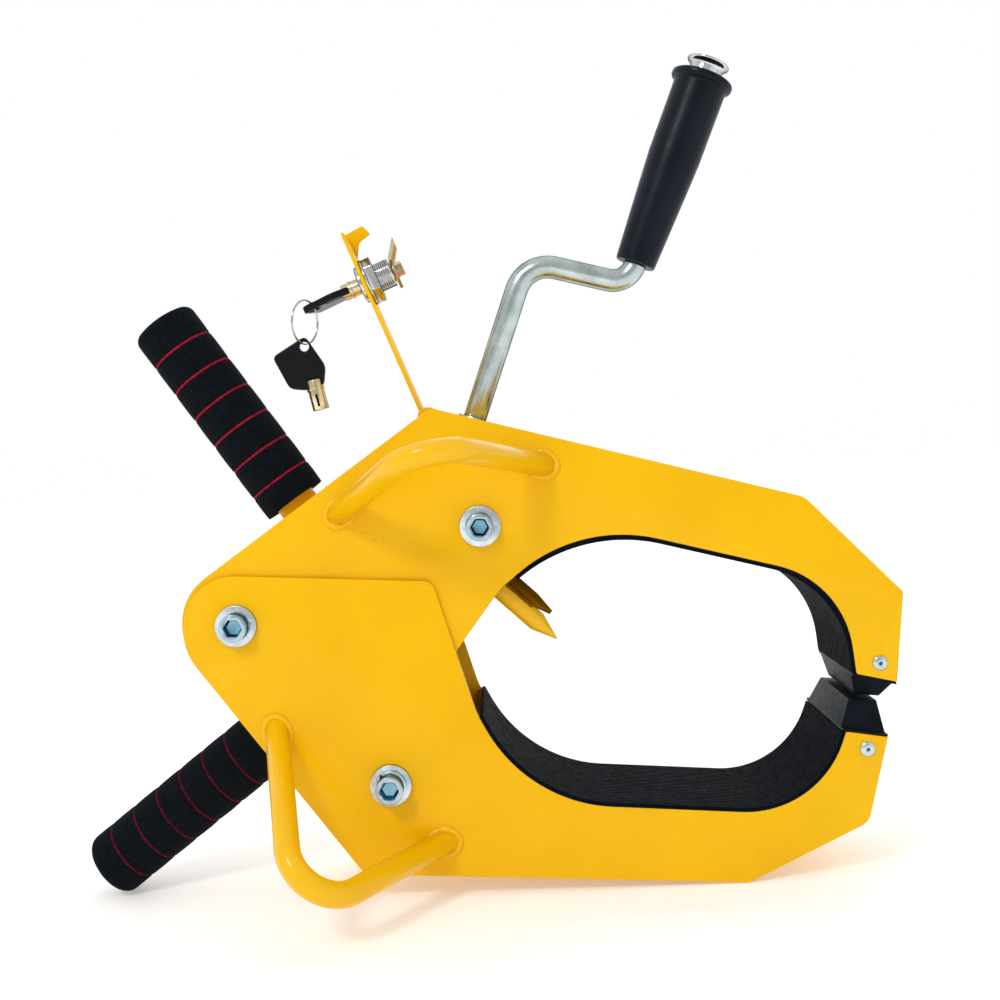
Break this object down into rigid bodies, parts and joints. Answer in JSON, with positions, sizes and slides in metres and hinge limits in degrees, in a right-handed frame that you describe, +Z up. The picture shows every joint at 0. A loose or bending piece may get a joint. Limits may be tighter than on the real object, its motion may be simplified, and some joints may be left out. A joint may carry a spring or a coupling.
{
  "type": "wheel clamp",
  "caption": "Yellow pincer wheel clamp: lined jaws closed by a cranked screw, with handles, foam grips and a hinged flap with a cam lock.",
  "frame": {"origin": "bottom centre of the whole clamp as it stands on its lower grip and the lower jaw's bottom corner", "axes": "+X from the grips to the jaw tips, +Y from the handle side to the rear, +Z up"},
  "size_m": [0.4926, 0.1748, 0.4934],
  "materials": {
    "yellow_paint": "gloss",
    "lining_rubber": "ribbed",
    "tip_plastic": "satin",
    "bright_zinc": "bright zinc plate",
    "machined_steel": "machined",
    "zinc_rod": "dull zinc plate",
    "chrome": "polished",
    "grip_plastic": "satin",
    "grip_foam": "foam",
    "yellow_zinc": "yellow zinc plate",
    "key_steel": "bright nickel plate",
    "key_plastic": "moulded"
  },
  "bodies": {
    "lower_jaw": {"lower_front_plate": "yellow_paint", "lower_rear_plate": "yellow_paint", "lower_band": "yellow_paint", "lower_rim": "yellow_paint", "lower_lining": "lining_rubber", "lower_tip_cap": "tip_plastic", "lower_tip_rivets": "bright_zinc", "lower_handle": "yellow_paint", "lower_grip_tube": "yellow_paint", "lower_foam_grip": "grip_foam", "pivot_bolt": "bright_zinc", "pivot_bolt_washers": "bright_zinc", "pivot_bolt_nut": "bright_zinc", "pivot_sleeve": "machined_steel", "lower_bolt": "bright_zinc", "lower_bolt_washers": "bright_zinc", "lower_spring_washer": "bright_zinc", "lower_bolt_nut": "bright_zinc", "lower_spacers": "yellow_paint"},
    "upper_jaw": {"upper_front_plate": "yellow_paint", "upper_rear_plate": "yellow_paint", "upper_band": "yellow_paint", "upper_rim": "yellow_paint", "upper_lining": "lining_rubber", "upper_tip_cap": "tip_plastic", "upper_tip_rivets": "bright_zinc", "upper_handle": "yellow_paint", "upper_grip_tube": "yellow_paint", "upper_foam_grip": "grip_foam", "upper_bolt": "bright_zinc", "upper_bolt_washers": "bright_zinc", "upper_bolt_nut": "bright_zinc", "upper_spacers": "yellow_paint", "spike": "yellow_paint", "spike_bracket": "yellow_paint", "flap_hinge_ears": "yellow_paint", "flap_hinge_pin": "bright_zinc"},
    "nut_block": {"nut_block": "machined_steel"},
    "thrust_block": {"thrust_block": "machined_steel"},
    "screw": {"screw": "machined_steel", "thrust_washer": "machined_steel", "screw_retaining_nut": "machined_steel"},
    "crank": {"crank_rod": "zinc_rod", "crank_socket": "zinc_rod", "crank_end_cap": "chrome"},
    "crank_grip": {"crank_grip": "grip_plastic"},
    "lock_flap": {"flap_plate": "yellow_paint", "lock_body": "chrome", "lock_washer": "chrome", "lock_nut": "chrome"},
    "lock_plug": {"lock_plug": "key_steel", "lock_cam": "yellow_zinc", "lock_cam_nut": "yellow_zinc"},
    "key": {"key_head": "key_plastic", "key_shank": "key_steel"},
    "key_ring": {"key_ring": "chrome"},
    "spare_key": {"spare_key_head": "key_plastic", "spare_key_shank": "key_steel"}
  },
  "joints": [
    {"name": "screw_spin", "type": "hinge", "parent": "thrust_block", "child": "screw", "pos_m": [-0.07611, 0.03237, 0.07465], "axis": [0.3565, 0, 0.9343], "range_deg": [0, 3240]},
    {"name": "jaw_hinge", "type": "hinge", "parent": "lower_jaw", "child": "upper_jaw", "pos_m": [-0.14238, 0.03237, 0.16427], "axis": [0, -1, 0], "range_deg": [0, 19.07]},
    {"name": "thrust_swivel", "type": "hinge", "parent": "lower_jaw", "child": "thrust_block", "pos_m": [-0.05742, 0.03237, 0.06751], "axis": [0, -1, 0], "range_deg": [0, 11.42]},
    {"name": "nut_swivel", "type": "hinge", "parent": "upper_jaw", "child": "nut_block", "pos_m": [0.00186, 0.03237, 0.21448], "axis": [0, 1, 0], "range_deg": [0, 7.67]},
    {"name": "crank_slide", "type": "slide", "parent": "screw", "child": "crank", "axis": [0.3565, 0, 0.9343], "range_m": [0, 0.09]},
    {"name": "grip_spin", "type": "hinge", "parent": "crank", "child": "crank_grip", "pos_m": [0.10436, 0.03237, 0.3668], "axis": [0.3921, 0, 0.9199], "continuous": true},
    {"name": "flap_hinge", "type": "hinge", "parent": "upper_jaw", "child": "lock_flap", "pos_m": [-0.02638, 0.03237, 0.28062], "axis": [0, 1, 0], "range_deg": [0, 30]},
    {"name": "lock_turn", "type": "hinge", "parent": "lock_flap", "child": "lock_plug", "pos_m": [-0.06121, 0.03237, 0.36376], "axis": [0.9341, 0, 0.357], "range_deg": [0, 90]},
    {"name": "key_slide", "type": "slide", "parent": "lock_plug", "child": "key", "axis": [-0.9341, 0, -0.357], "range_m": [0, 0.012]},
    {"name": "ring_swing", "type": "hinge", "parent": "key", "child": "key_ring", "pos_m": [-0.09391, 0.03237, 0.35127], "axis": [-0.8964, 0.4384, 0.0656], "range_deg": [0, 20]},
    {"name": "spare_key_swing", "type": "hinge", "parent": "key_ring", "child": "spare_key", "pos_m": [-0.0994, 0.02463, 0.32794], "axis": [0.4372, 0.8988, -0.032], "range_deg": [-25, 25]}
  ],
  "couplings": [
    {"joint": "jaw_hinge", "follows": "screw_spin", "ratio": 0.0058796},
    {"joint": "thrust_swivel", "follows": "screw_spin", "ratio": 0.0035186},
    {"joint": "nut_swivel", "follows": "screw_spin", "ratio": 0.002361}
  ]
}
